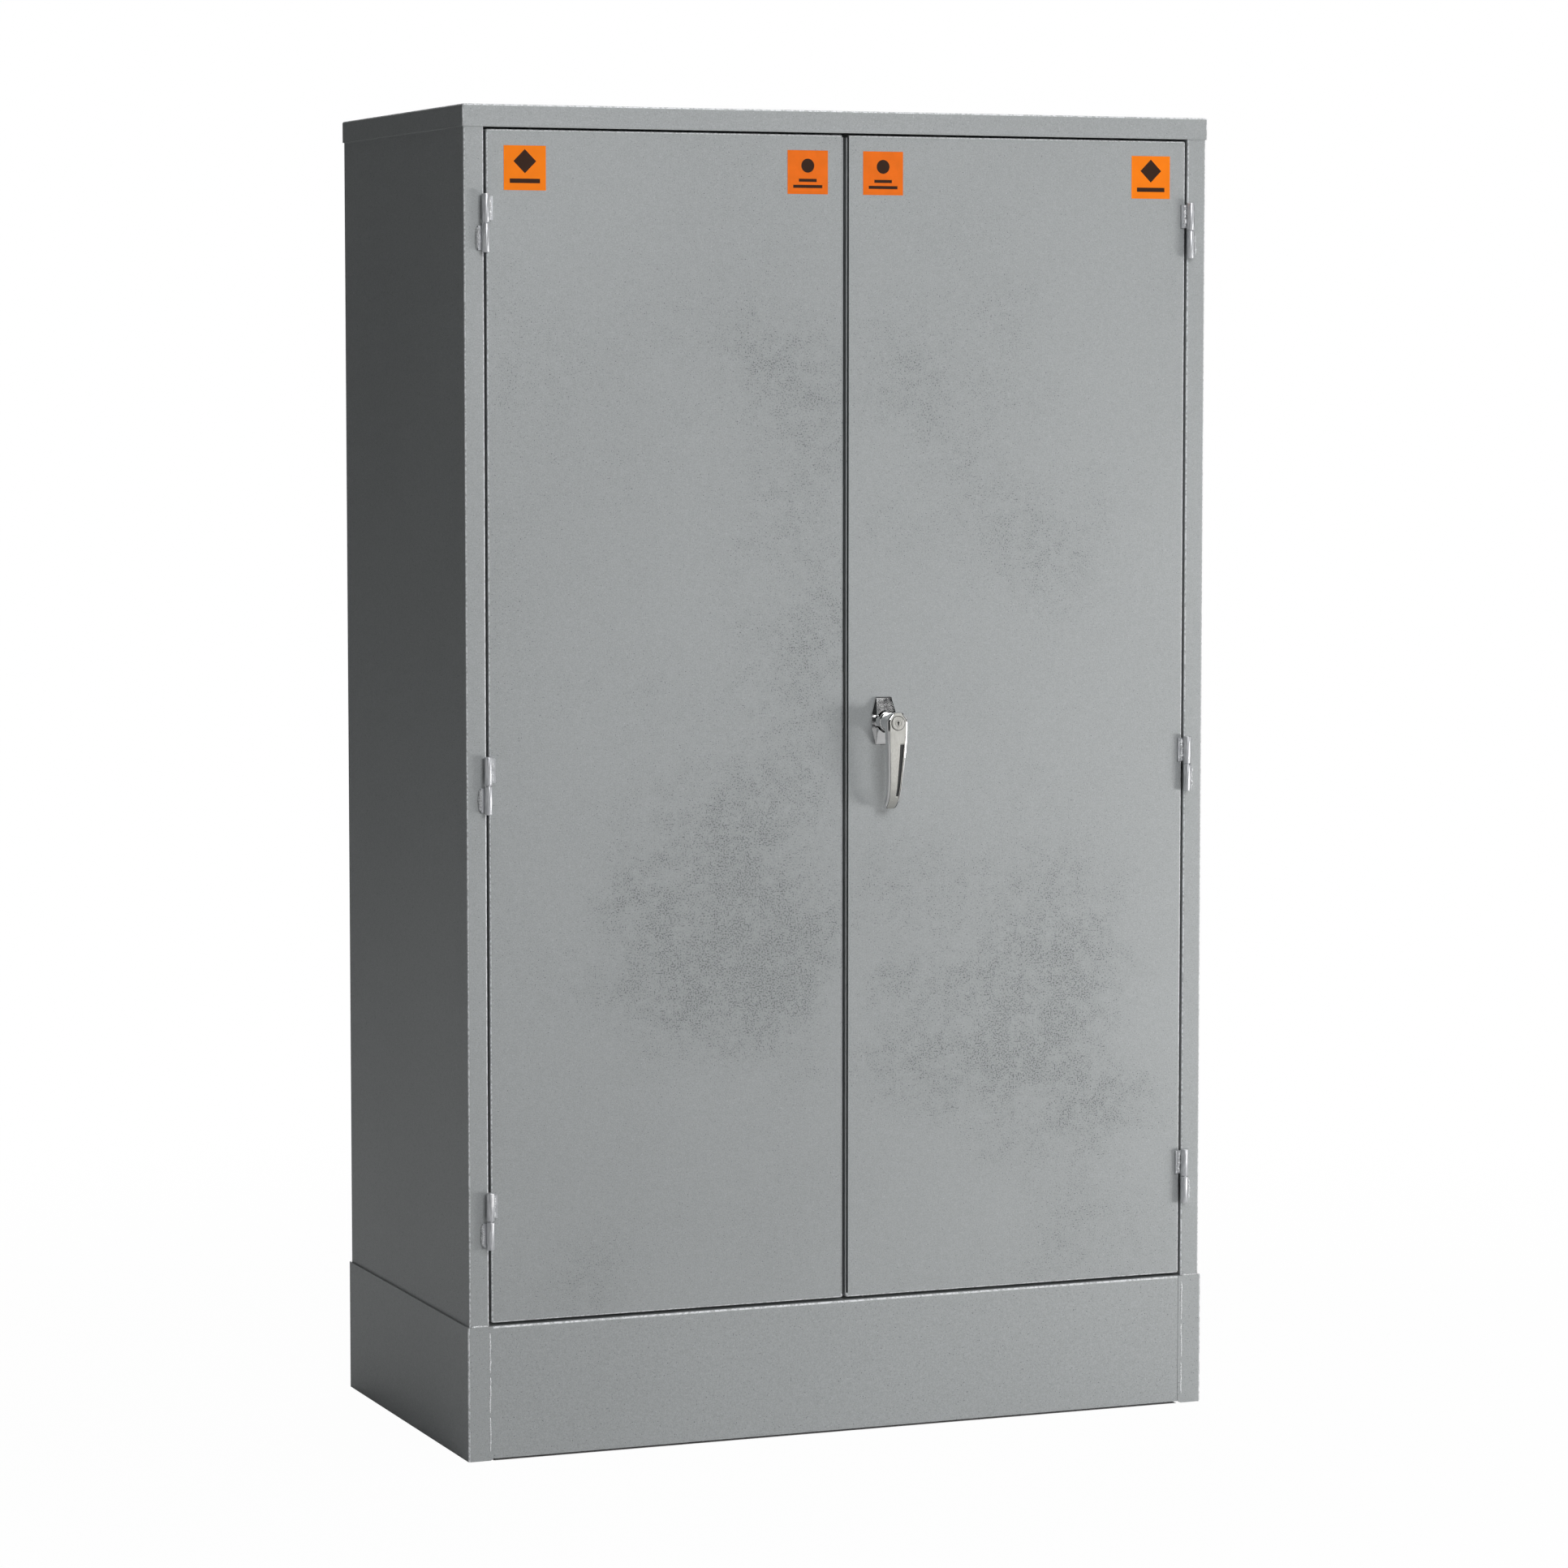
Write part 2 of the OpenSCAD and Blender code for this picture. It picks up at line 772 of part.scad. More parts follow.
// Turning plug with its keyway.
module lock_plug() {
    proud = 0.9;
    key_w = 1.2;
    key_h = 4.8;
    key_l = 14;
    key_rise = 0.9;
    plug_past = 1;
    color("silver") at_spindle() difference() {
        round_part(-lever_out - proud, -lever_out + barrel_end + plug_past, plug_r);
        translate([-key_w / 2, -lever_out - 2 * over, -key_h / 2]) cube([key_w, key_l, key_h]);
        translate([0, -lever_out - 2 * over, key_rise])
            rotate([-90, 0, 0]) cylinder(r = key_w, h = key_l);
    }
}

// Lock rod: flat end with a cross slot for the cam's pin, then a round rod out through the door's edge.
// up is 1 for the upper rod and -1 for the lower one; tip is how far its end is from the spindle.
module lock_rod(up, tip) {
    flat_t = 4;
    pin_slot_h = cam_pin_d + 2 * slot_play;
    end_play = 1;
    pin_slot_w = cam_r - cam_r * sqrt(0.5) + cam_pin_d + end_play;
    eye = 14;
    eye_end = 7;
    flat_end = 28;
    rod_start = 16;
    pin_z = -up * cam_r * sqrt(0.5);
    color("silver") at_spindle() translate([up * rod_x, 0, 0]) {
        plate(rod_y - flat_t / 2, rod_y + flat_t / 2) difference() {
            span([-eye / 2, min(pin_z - up * eye_end, pin_z + up * flat_end)],
                 [eye / 2, max(pin_z - up * eye_end, pin_z + up * flat_end)]);
            translate([0, pin_z]) square([pin_slot_w, pin_slot_h], center = true);
        }
        translate([0, rod_y, up > 0 ? pin_z + rod_start : -tip])
            cylinder(d = rod_d, h = tip - pin_z * up - rod_start);
    }
}

module upper_rod() {
    lock_rod(1, door_z1 - rod_tip_play - spindle_z);
}

module lower_rod() {
    lock_rod(-1, spindle_z - door_z0 - rod_tip_play);
}

// Saddles inside the right door that guide the rods.
module rod_guides() {
    guide_h = 12;
    guide_w = 20;
    wall = 2;
    near = 200;
    far_end = 60;
    far = door_z1 - spindle_z - far_end;
    depth = rod_y + rod_d / 2 + wall - sheet;
    color("silver") for (side = [-1, 1], away = [near, far])
        translate([spindle_x + side * rod_x, at(0), spindle_z + side * away - guide_h / 2]) difference() {
            translate([-guide_w / 2, sheet + mount_gap, 0]) cube([guide_w, depth, guide_h]);
            translate([0, rod_y, -over]) cylinder(d = rod_d + 2 * rod_fit, h = guide_h + 2 * over);
        }
}

module upper_keep() {
    keep(spindle_x + rod_x, head_z + sheet + mount_gap);
}

module lower_keep() {
    keep(spindle_x - rod_x, sill_z - front_t - keep_t - mount_gap);
}

// Plate with the hole that a rod shoots into. z is its underside.
module keep(x, z) {
    d0 = 6;
    d1 = 25;
    hole_d = rod_d + 1.4;
    color("silver") difference() {
        block([x - keep_w / 2, at(d0), z], [x + keep_w / 2, at(d1), z + keep_t]);
        translate([x, at(rod_y), z - over]) cylinder(d = hole_d, h = keep_t + 2 * over);
    }
}

// ---------------------------------------------------------------- what is drawn

side_panel();  // side_panel_left
other_side() side_panel();  // side_panel_right
back_panel();
top_cap();
door_head();
plinth_side();  // plinth_side_left
other_side() plinth_side();  // plinth_side_right
plinth_front();
plinth_back();
sump_tray();
upright(front_upright_d);  // upright_front_left
other_side() upright(front_upright_d);  // upright_front_right
upright(rear_upright_d);  // upright_rear_left
other_side() upright(rear_upright_d);  // upright_rear_right
shelf(shelf_z(0));  // shelf_lower
shelf(shelf_z(1));  // shelf_middle
shelf(shelf_z(2));  // shelf_upper
shelf_clips();
frame_knuckles();  // frame_knuckles_left
other_side() frame_knuckles();  // frame_knuckles_right
hinge_pins();  // hinge_pins_left
other_side() hinge_pins();  // hinge_pins_right
upper_keep();
lower_keep();
door_buffers();
door_skin_left();
other_side() door_stiffener();  // door_stiffener_left
door_knuckles();  // door_knuckles_left
label(-label_out);  // label_left_outer
label(-label_in);  // label_left_inner
door_skin_right();
door_stiffener();  // door_stiffener_right
other_side() door_knuckles();  // door_knuckles_right
label(label_in);  // label_right_inner
label(label_out);  // label_right_outer
escutcheon();
lock_backplate();
escutcheon_screws();
rod_guides();
lever_handle();
spindle();
cam();
cam_washer();
cam_screw();
lock_barrel();
lock_plug();
upper_rod();
lower_rod();
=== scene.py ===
import json
import math

import bpy
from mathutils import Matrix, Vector, noise


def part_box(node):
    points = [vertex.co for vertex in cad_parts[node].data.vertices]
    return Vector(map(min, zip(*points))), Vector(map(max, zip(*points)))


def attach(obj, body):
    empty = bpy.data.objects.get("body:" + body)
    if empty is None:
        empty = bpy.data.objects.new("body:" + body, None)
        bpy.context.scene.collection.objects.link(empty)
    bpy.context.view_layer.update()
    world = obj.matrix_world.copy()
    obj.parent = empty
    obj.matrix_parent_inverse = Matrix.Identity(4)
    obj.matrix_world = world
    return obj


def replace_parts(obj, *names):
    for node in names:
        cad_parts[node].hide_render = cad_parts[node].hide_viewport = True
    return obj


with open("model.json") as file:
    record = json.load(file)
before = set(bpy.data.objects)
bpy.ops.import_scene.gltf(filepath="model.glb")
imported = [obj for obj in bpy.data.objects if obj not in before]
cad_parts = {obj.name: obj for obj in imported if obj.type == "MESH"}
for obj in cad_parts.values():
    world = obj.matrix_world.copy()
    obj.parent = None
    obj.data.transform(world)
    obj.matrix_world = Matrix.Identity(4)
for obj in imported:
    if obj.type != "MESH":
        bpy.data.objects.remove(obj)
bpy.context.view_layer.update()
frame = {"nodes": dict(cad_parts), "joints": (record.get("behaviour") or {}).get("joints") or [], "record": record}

MM = 0.001
FULL_TURN = 2 * math.pi
OUTWARD = Vector((0, -1, 0))
SHARP_ANGLE = math.radians(28)

# ------------------------------------------------------------------ places, from the frame

JOINTS = {j["name"]: j for j in frame["joints"]}
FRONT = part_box("side_panel_left")[0].y
SPINDLE = Vector(JOINTS["handle_turn"]["pos_m"])
HINGE_X = JOINTS["door_right_swing"]["pos_m"][0]
JAMB_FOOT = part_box("plinth_front")[1].z
SEAM_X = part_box("plinth_front")[1].x
PLINTH_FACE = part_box("plinth_front")[0].y
BODY_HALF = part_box("side_panel_right")[1].x
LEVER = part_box("lever_handle")


def solids_up(node, gap=100 * MM):
    """Lowest and highest z of each of a node's solids, which stand one above another."""
    heights = sorted(v.co.z for v in frame["nodes"][node].data.vertices)
    runs = [[heights[0], heights[0]]]
    for z in heights:
        if z - runs[-1][1] > gap:
            runs.append([z, z])
        runs[-1][1] = z
    return runs


# ------------------------------------------------------------------ material helpers

class Shader:
    """A material's node tree, built a node at a time."""

    def __init__(self, name):
        self.material = bpy.data.materials.new(name)
        self.material.use_nodes = True
        self.tree = self.material.node_tree
        self.bsdf = self.tree.nodes["Principled BSDF"]
        self.coords = self.tree.nodes.new("ShaderNodeTexCoord")

    def node(self, kind, inputs=None, **settings):
        made = self.tree.nodes.new("ShaderNode" + kind)
        for key, value in settings.items():
            setattr(made, key, value)
        for key, value in (inputs or {}).items():
            self.feed(made.inputs[key], value)
        return made

    def feed(self, socket, value):
        if isinstance(value, bpy.types.NodeSocket):
            self.tree.links.new(value, socket)
        else:
            socket.default_value = value

    def set(self, **inputs):
        for key, value in inputs.items():
            self.feed(self.bsdf.inputs[key.replace("_", " ")], value)

    def noise(self, scale, detail=2.0, roughness=0.5, vector=None):
        where = vector or self.coords.outputs["Object"]
        inputs = {"Vector": where, "Scale": scale, "Detail": detail, "Roughness": roughness}
        return self.node("TexNoise", inputs).outputs["Fac"]

    def math(self, operation, a, b=0.0):
        return self.node("Math", {0: a, 1: b}, operation=operation).outputs[0]

    def times(self, a, b):
        return self.math("MULTIPLY", a, b)

    def span(self, value, low, high, to_low=0.0, to_high=1.0, smooth=True):
        kind = "SMOOTHSTEP" if smooth else "LINEAR"
        inputs = {"Value": value, "From Min": low, "From Max": high,
                  "To Min": to_low, "To Max": to_high}
        return self.node("MapRange", inputs, interpolation_type=kind).outputs["Result"]

    def mix(self, factor, a, b):
        made = self.node("Mix", data_type="RGBA")
        for index, value in ((0, factor), (6, a), (7, b)):
            self.feed(made.inputs[index], value)
        return made.outputs[2]

    def tinted(self, tone, red, green, blue):
        """A colour whose three channels all follow one tone."""
        channels = {"Red": self.times(tone, red), "Green": self.times(tone, green),
                    "Blue": self.times(tone, blue)}
        return self.node("CombineColor", channels).outputs[0]

    def stretched(self, up):
        """Object coordinates with z scaled by up, below 1 to draw a pattern out upright."""
        inputs = {"Vector": self.coords.outputs["Object"], "Scale": (1.0, 1.0, up)}
        return self.node("Mapping", inputs).outputs[0]

    def bump(self, height, strength, distance, under=None):
        inputs = {"Height": height, "Strength": strength, "Distance": distance}
        if under:
            inputs["Normal"] = under
        return self.node("Bump", inputs).outputs["Normal"]

    def folds(self):
        """1 on rounded edges, fading to 0 on faces that lie square to the object's axes; the mask for the paint's
        painted fold highlight.
        """
        parts = self.node("SeparateXYZ", {"Vector": self.coords.outputs["Normal"]}).outputs
        x, y, z = (self.math("ABSOLUTE", part) for part in parts)
        squareness = self.math("MAXIMUM", self.math("MAXIMUM", x, y), z)
        return self.span(squareness, 0.90, 0.99, 1.0, 0.0)


def grey(value):
    return (value, value, value, 1.0)


# ------------------------------------------------------------------ materials

SILVER = (0.388, 0.405, 0.408)
DARK_FLECK = (0.105, 0.115, 0.118, 1.0)
STAIN = (0.228, 0.25, 0.243, 1.0)
GLINT = (0.66, 0.68, 0.69, 1.0)
# Near-white of the painted highlight on rounded folds
FOLD_HIGHLIGHT_PAINTED = (0.93, 0.945, 0.96, 1.0)
FLECK_STRENGTH, STAIN_STRENGTH, GLINT_STRENGTH = 0.85, 0.17, 0.35
# A fleck cloud frays by FRAY of its radius and thins out from CORE to FRINGE radii
FRAY, CORE, FRINGE = 0.45, -0.3, 2.0


def powder_coat(name, light=1.0, clouds=(), specks_all_over=0.55):
    """Silver-grey textured paint, with a painted highlight along its rounded folds. clouds lists where dark flecks
    crowd: (x, z, radius, density).
    """
    s = Shader(name)
    place = s.coords.outputs["Object"]
    ragged = s.span(s.noise(9.0, 4.0, 0.6), 0.30, 0.70, -FRAY, FRAY, smooth=False)
    crowd = s.times(s.span(s.noise(3.2, 3.0, 0.6), 0.40, 0.75), specks_all_over)
    for x, z, radius, density in clouds:
        middle = (x * MM, FRONT, z * MM)
        apart = s.node("VectorMath", {0: place, 1: middle}, operation="DISTANCE")
        frayed = s.math("ADD", apart.outputs["Value"], s.times(ragged, radius * MM))
        near = s.span(frayed, CORE * radius * MM, FRINGE * radius * MM, density, 0.0)
        crowd = s.math("ADD", crowd, near)
    crowd = s.times(crowd, s.span(s.noise(48.0, 3.0, 0.7), 0.32, 0.68, 0.45, 1.25))
    threshold = s.span(crowd, 0.0, 1.6, 0.690, 0.540, smooth=False)
    fleck = s.span(s.math("SUBTRACT", s.noise(600.0, 1.5, 0.6), threshold), 0.0, 0.035)
    stain = s.span(crowd, 0.05, 1.3, 0.0, STAIN_STRENGTH)
    glint = s.span(s.noise(450.0, 1.0, 0.5), 0.70, 0.74)

    broad = s.span(s.noise(2.2, 2.0), 0.3, 0.7, 0.97, 1.03, smooth=False)
    mottle = s.span(s.noise(210.0, 3.0, 0.7), 0.3, 0.7, 0.955, 1.045, smooth=False)
    grain = s.span(s.noise(760.0, 2.0, 0.7), 0.3, 0.7, 0.86, 1.14, smooth=False)
    tone = s.times(s.times(broad, s.times(mottle, grain)), light)
    coloured = s.mix(s.times(fleck, FLECK_STRENGTH), s.tinted(tone, *SILVER), DARK_FLECK)
    coloured = s.mix(stain, coloured, STAIN)
    coloured = s.mix(s.times(glint, GLINT_STRENGTH), coloured, GLINT)
    # Painted highlight: rounded folds are lightened in dots towards near-white, standing in for the light they
    # catch
    fold_highlight_dots = s.span(s.noise(300.0, 2.0), 0.36, 0.60, 0.35, 1.0)
    coloured = s.mix(s.times(s.folds(), fold_highlight_dots), coloured, FOLD_HIGHLIGHT_PAINTED)

    rough = s.span(s.noise(640.0, 2.0), 0.3, 0.7, 0.40, 0.56, smooth=False)
    buckle = s.bump(s.noise(3.5, 1.0), 0.35, 1.2 * MM)
    peel = s.bump(s.noise(560.0, 2.5, 0.65), 0.7, 0.18 * MM, buckle)
    s.set(Base_Color=coloured, Roughness=rough, Normal=peel, Metallic=0.12)
    return s.material


def bright_paint():
    """Thick bright silver paint on the hinges, with fine upright runs."""
    s = Shader("hinge_silver")
    runs = s.noise(620.0, 2.0, 0.6, s.stretched(0.12))
    base = s.mix(s.span(runs, 0.34, 0.66), (0.50, 0.51, 0.53, 1.0), (0.70, 0.71, 0.73, 1.0))
    rough = s.span(s.noise(300.0, 2.0), 0.3, 0.7, 0.28, 0.38, smooth=False)
    s.set(Base_Color=base, Roughness=rough, Metallic=0.55, Normal=s.bump(runs, 0.12, 0.1 * MM))
    return s.material


def weld_paint():
    """Lumpy painted weld metal."""
    s = Shader("weld_silver")
    tone = s.span(s.noise(700.0, 3.0, 0.7), 0.35, 0.65)
    base = s.mix(tone, (0.50, 0.51, 0.52, 1.0), (0.95, 0.96, 0.97, 1.0))
    s.set(Base_Color=base, Roughness=0.34, Metallic=0.25,
          Normal=s.bump(s.noise(900.0, 2.0), 0.7, 0.25 * MM))
    return s.material


def chrome():
    """Polished chrome with a slight haze."""
    s = Shader("polished_chrome")
    haze = s.span(s.noise(60.0, 4.0, 0.7), 0.35, 0.75, 0.04, 0.15, smooth=False)
    tone = s.mix(s.span(s.noise(35.0, 3.0), 0.4, 0.7), grey(0.80), grey(0.66))
    s.set(Base_Color=tone, Metallic=1.0, Roughness=haze,
          Normal=s.bump(s.noise(90.0, 2.0), 0.08, 0.2 * MM))
    return s.material


def satin_chrome():
    """Dull chrome brushed upright, for the lever's flat front and the lock's face."""
    s = Shader("satin_chrome")
    brushed = s.noise(2600.0, 2.0, 0.6, s.stretched(0.04))
    tone = s.mix(s.span(brushed, 0.3, 0.7), (0.50, 0.495, 0.46, 1.0), (0.64, 0.635, 0.60, 1.0))
    s.set(Base_Color=tone, Metallic=0.85, Roughness=s.span(brushed, 0.3, 0.7, 0.32, 0.44),
          Normal=s.bump(brushed, 0.15, 0.05 * MM))
    return s.material


def zinc():
    """Zinc-plated steel with soft spangle."""
    s = Shader("zinc_plate")
    cells = s.node("TexVoronoi", {"Vector": s.coords.outputs["Object"], "Scale": 120.0})
    tone = s.mix(cells.outputs["Color"], (0.46, 0.47, 0.48, 1.0), (0.62, 0.62, 0.61, 1.0))
    s.set(Base_Color=tone, Metallic=0.9,
          Roughness=s.span(s.noise(200.0, 3.0), 0.3, 0.7, 0.28, 0.46),
          Normal=s.bump(s.noise(600.0, 2.0), 0.2, 0.1 * MM))
    return s.material


# Colour of the orange vinyls' fixed glow, which is painted light
ORANGE_LIGHT = (1.0, 0.22, 0.01, 1.0)


def vinyl(name, red, green, blue, glow=0.0):
    """Printed vinyl; glow is how much light a fluorescent ink adds, given as a fixed emission: the ink's
    brightness is real, its glow in any light is painted light.
    """
    s = Shader(name)
    tone = s.span(s.noise(90.0, 3.0), 0.3, 0.7, 0.95, 1.03, smooth=False)
    s.set(Base_Color=s.tinted(tone, red, green, blue),
          Roughness=s.span(s.noise(240.0, 2.0), 0.3, 0.7, 0.46, 0.6),
          Specular_IOR_Level=0.12,
          Normal=s.bump(s.noise(420.0, 2.0), 0.25, 0.06 * MM))
    if glow:
        s.set(Emission_Color=ORANGE_LIGHT, Emission_Strength=glow)
    return s.material


def dull_black(name, value):
    """A dark matt surface of about the given tone."""
    s = Shader(name)
    tone = s.mix(s.noise(300.0, 3.0), grey(value * 0.7), grey(value * 1.3))
    s.set(Base_Color=tone, Roughness=s.span(s.noise(150.0, 2.0), 0.3, 0.7, 0.6, 0.8),
          Normal=s.bump(s.noise(500.0, 2.0), 0.3, 0.1 * MM))
    return s.material


# Where the dark flecks crowd on each door: x, z and radius in millimetres, and density.
LEFT_CLOUDS = ((-55, 1215, 85, 0.95), (-150, 1275, 80, 0.50), (-50, 1055, 95, 0.60),
               (-40, 905, 90, 0.75), (-95, 745, 150, 0.80), (-170, 545, 125, 1.05),
               (-75, 530, 80, 0.85), (-130, 640, 110, 0.65), (-325, 192, 55, 0.75),
               (-115, 250, 75, 0.50), (-380, 1235, 40, 0.40), (-395, 565, 60, 0.40),
               (-320, 1165, 90, 0.30))
RIGHT_CLOUDS = ((70, 1250, 55, 0.75), (175, 1335, 75, 0.55), (165, 1185, 115, 0.60),
                (242, 1005, 60, 0.95), (320, 1100, 45, 0.50), (55, 1070, 50, 0.45),
                (55, 635, 60, 0.70), (72, 525, 28, 0.80), (40, 430, 48, 0.70),
                (195, 565, 140, 0.70), (300, 570, 65, 0.85), (165, 455, 90, 0.75),
                (258, 455, 110, 0.75), (295, 363, 75, 0.95), (387, 378, 40, 0.80),
                (320, 220, 75, 0.55))
PAINT = powder_coat("carcass_paint", 1.0, specks_all_over=0.12)
# The left door's copy is 1.5 % darker overall: painted shade for the lesser light on that door
PAINT_LEFT = powder_coat("left_door_paint", 0.985, LEFT_CLOUDS)
PAINT_RIGHT = powder_coat("right_door_paint", 1.0, RIGHT_CLOUDS)
HINGE = bright_paint()
WELD = weld_paint()
CHROME = chrome()
SATIN = satin_chrome()
ZINC = zinc()
# Both orange vinyls glow at a fixed strength: painted light
ORANGE = vinyl("orange_vinyl", 0.98, 0.225, 0.004, glow=0.10)
ORANGE_DULL = vinyl("orange_vinyl_faded", 0.94, 0.180, 0.010, glow=0.02)
INK = vinyl("brown_ink", 0.042, 0.018, 0.010)
RUBBER = dull_black("black_rubber", 0.03)
GROOVE = dull_black("groove_brown", 0.032)
# Near-black of the keyhole plate: painted shade
KEYHOLE_SHADE = dull_black("keyhole_painted_shade", 0.006)

BY_SLOT = {"paint": PAINT, "galvanised": ZINC, "hinge_steel": HINGE, "chrome": CHROME,
           "label": ORANGE, "rubber": RUBBER}
SPECIAL = {"door_skin_left": PAINT_LEFT, "door_skin_right": PAINT_RIGHT,
           "label_left_inner": ORANGE_DULL, "label_right_inner": ORANGE_DULL,
           "lock_barrel": SATIN, "lock_plug": SATIN}


def dress_cad_nodes():
    """Gives each carried-over CAD node its material."""
    for row in frame["record"]["subparts"]:
        node = row["node"]
        slots = frame["nodes"][node].data.materials
        slots.clear()
        slots.append(SPECIAL.get(node, BY_SLOT[row["material_slot"]]))


# Points closer than this are joined, and only edges sharper than this angle are rounded
JOIN_WITHIN = 0.002 * MM
SOFTEN_ABOVE = math.radians(25)


def soften(node, width, segments=3):
    """Rounds a small CAD node's sharp edges with modifiers; its own mesh stays as it is."""
    solid = frame["nodes"][node]
    weld = solid.modifiers.new("join_seams", "WELD")
    weld.merge_threshold = JOIN_WITHIN
    bevel = solid.modifiers.new("soft_edges", "BEVEL")
    bevel.width = width
    bevel.segments = segments
    bevel.angle_limit = SOFTEN_ABOVE
    bevel.harden_normals = True


# ------------------------------------------------------------------ mesh helpers

def add_piece(name, verts, faces, body, materials, face_slots=None, smooth=True):
    """A new mesh that rides a body. face_slots gives each face's place in materials."""
    mesh = bpy.data.meshes.new(name)
    mesh.from_pydata([tuple(v) for v in verts], [], faces)
    for material in materials:
        mesh.materials.append(material)
    for index, face in enumerate(mesh.polygons):
        face.use_smooth = smooth
        if face_slots:
            face.material_index = face_slots[index]
    mesh.set_sharp_from_angle(angle=SHARP_ANGLE)
    mesh.update()
    piece = bpy.data.objects.new(name, mesh)
    bpy.context.scene.collection.objects.link(piece)
    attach(piece, body)
    return piece


def loft(rings):
    """Faces that join closed rings of equal length, with both ends capped."""
    count = len(rings[0])
    verts = [point for ring in rings for point in ring]
    faces = []
    for r in range(len(rings) - 1):
        for i in range(count):
            j = (i + 1) % count
            faces.append((r * count + i, r * count + j, (r + 1) * count + j, (r + 1) * count + i))
    faces.append(tuple(reversed(range(count))))
    faces.append(tuple(range((len(rings) - 1) * count, len(rings) * count)))
    return verts, faces


def prism(outline, front, back):
    """A flat plate between two depths, from an outline of (x, z) points."""
    count = len(outline)
    verts = [(x, y, z) for y in (front, back) for x, z in outline]
    faces = [tuple(range(count)), tuple(reversed(range(count, 2 * count)))]
    faces += [(i, i + count, (i + 1) % count + count, (i + 1) % count) for i in range(count)]
    return verts, faces


# ------------------------------------------------------------------ welds

BEAD_SIDES = 12
BEAD_STEP = 0.9 * MM
FEWEST_STEPS = 8
# The power that blunts a bead's ends, and how thin they get as a share of the whole
BLUNT = 6
THINNEST = 0.02
# How much a bead swells, drifts sideways and lumps, each with the length over which it does so
SWELL, SWELL_RUN = 0.34, 5 * MM
DRIFT, DRIFT_RUN = 0.22, 9 * MM
LUMP, LUMP_RUN, LUMPS_ROUND = 0.14, 1.6 * MM, 3
# How much the ripples change a bead's width, and how much of that its height follows
SCALLOP, SCALLOP_HIGH, HEIGHT_BASE = 0.16, 0.2, 0.9
# Steps through the noise from one seed to the next, so that no two beads match
SWELL_ROW, DRIFT_ROW, DRIFT_PLANE = 7.3, 3.1, 4.0


def bead(name, start, end, width, height, body, seed, ripple):
    """A weld bead from start to end, half sunk in the sheet, with ripples and wandering edges."""
    start, end = Vector(start), Vector(end)
    along = (end - start).normalized()
    across = along.cross(OUTWARD)
    length = (end - start).length
    steps = max(FEWEST_STEPS, int(length / BEAD_STEP))
    swell_row, drift_row = seed * SWELL_ROW, seed * DRIFT_ROW
    rings = []
    for i in range(steps + 1):
        t = i / steps
        s = t * length
        taper = max(THINNEST, math.sqrt(max(0.0, 1 - abs(2 * t - 1) ** BLUNT)))
        swell = 1 + SWELL * noise.noise(Vector((swell_row, s / SWELL_RUN, 0.0)))
        scallop = 1 + SCALLOP * math.cos(FULL_TURN * s / ripple)
        drift = DRIFT * width * noise.noise(Vector((drift_row, DRIFT_PLANE, s / DRIFT_RUN)))
        w = width / 2 * taper * swell * scallop
        h = height * taper * swell * (HEIGHT_BASE + SCALLOP_HIGH * scallop)
        middle = start + along * s + across * drift
        ring = []
        for k in range(BEAD_SIDES):
            a = FULL_TURN * k / BEAD_SIDES
            spot = Vector((s / LUMP_RUN, LUMPS_ROUND * math.cos(a), seed + LUMPS_ROUND * math.sin(a)))
            lump = 1 + LUMP * noise.noise(spot)
            ring.append(middle + across * (w * lump * math.cos(a))
                        + OUTWARD * (h * lump * math.sin(a)))
        rings.append(ring)
    verts, faces = loft(rings)
    add_piece(name, verts, faces, body, [WELD])


# Each hinge half's bead: which way it lies from the pin (1 is towards the cabinet's side), how
# far, its width and half its length, in millimetres
HINGE_BEADS = {"door": (-1, 5.3, 5.4, 14), "frame": (1, 7.6, 4.2, 12)}
HINGE_BEAD_HEIGHT = 3.6 * MM
HINGE_BEAD_RIPPLE = 3.2 * MM
HINGE_BEAD_PROUD = 1.6 * MM
HALF_SEED = 3.7


def hinge_welds():
    """A bead along each hinge lug: the door's half above and the frame's half below."""
    depth = FRONT - HINGE_BEAD_PROUD
    for side, sign in (("left", -1), ("right", 1)):
        for half, body in (("door", "door_" + side), ("frame", "carcass")):
            way, away, width, reach = HINGE_BEADS[half]
            x = sign * (HINGE_X + way * (away * MM))
            for i, (low, high) in enumerate(solids_up(f"{half}_knuckles_{side}")):
                middle = (low + high) / 2
                bead(f"weld_{half}_{side}_{i}", (x, depth, middle - reach * MM),
                     (x, depth, middle + reach * MM), width * MM, HINGE_BEAD_HEIGHT, body,
                     seed=10 * i + sign + way * HALF_SEED, ripple=HINGE_BEAD_RIPPLE)


# Heights in metres between which the plinth's corner seams are welded
SEAM_RUNS = ((0.010, 0.050), (0.054, 0.096), (0.100, 0.147))
# How far a seam's bead lies outside the corner, wanders sideways and stands before the plinth
SEAM_OFF, SEAM_WANDER, SEAM_PROUD = 0.3 * MM, 0.5 * MM, 0.2 * MM
# How far a jamb's tack starts and ends inside the corners, stands proud and rises from the foot
TACK_START, TACK_END, TACK_PROUD, TACK_RISE = 1 * MM, 2 * MM, 0.6 * MM, 0.4 * MM


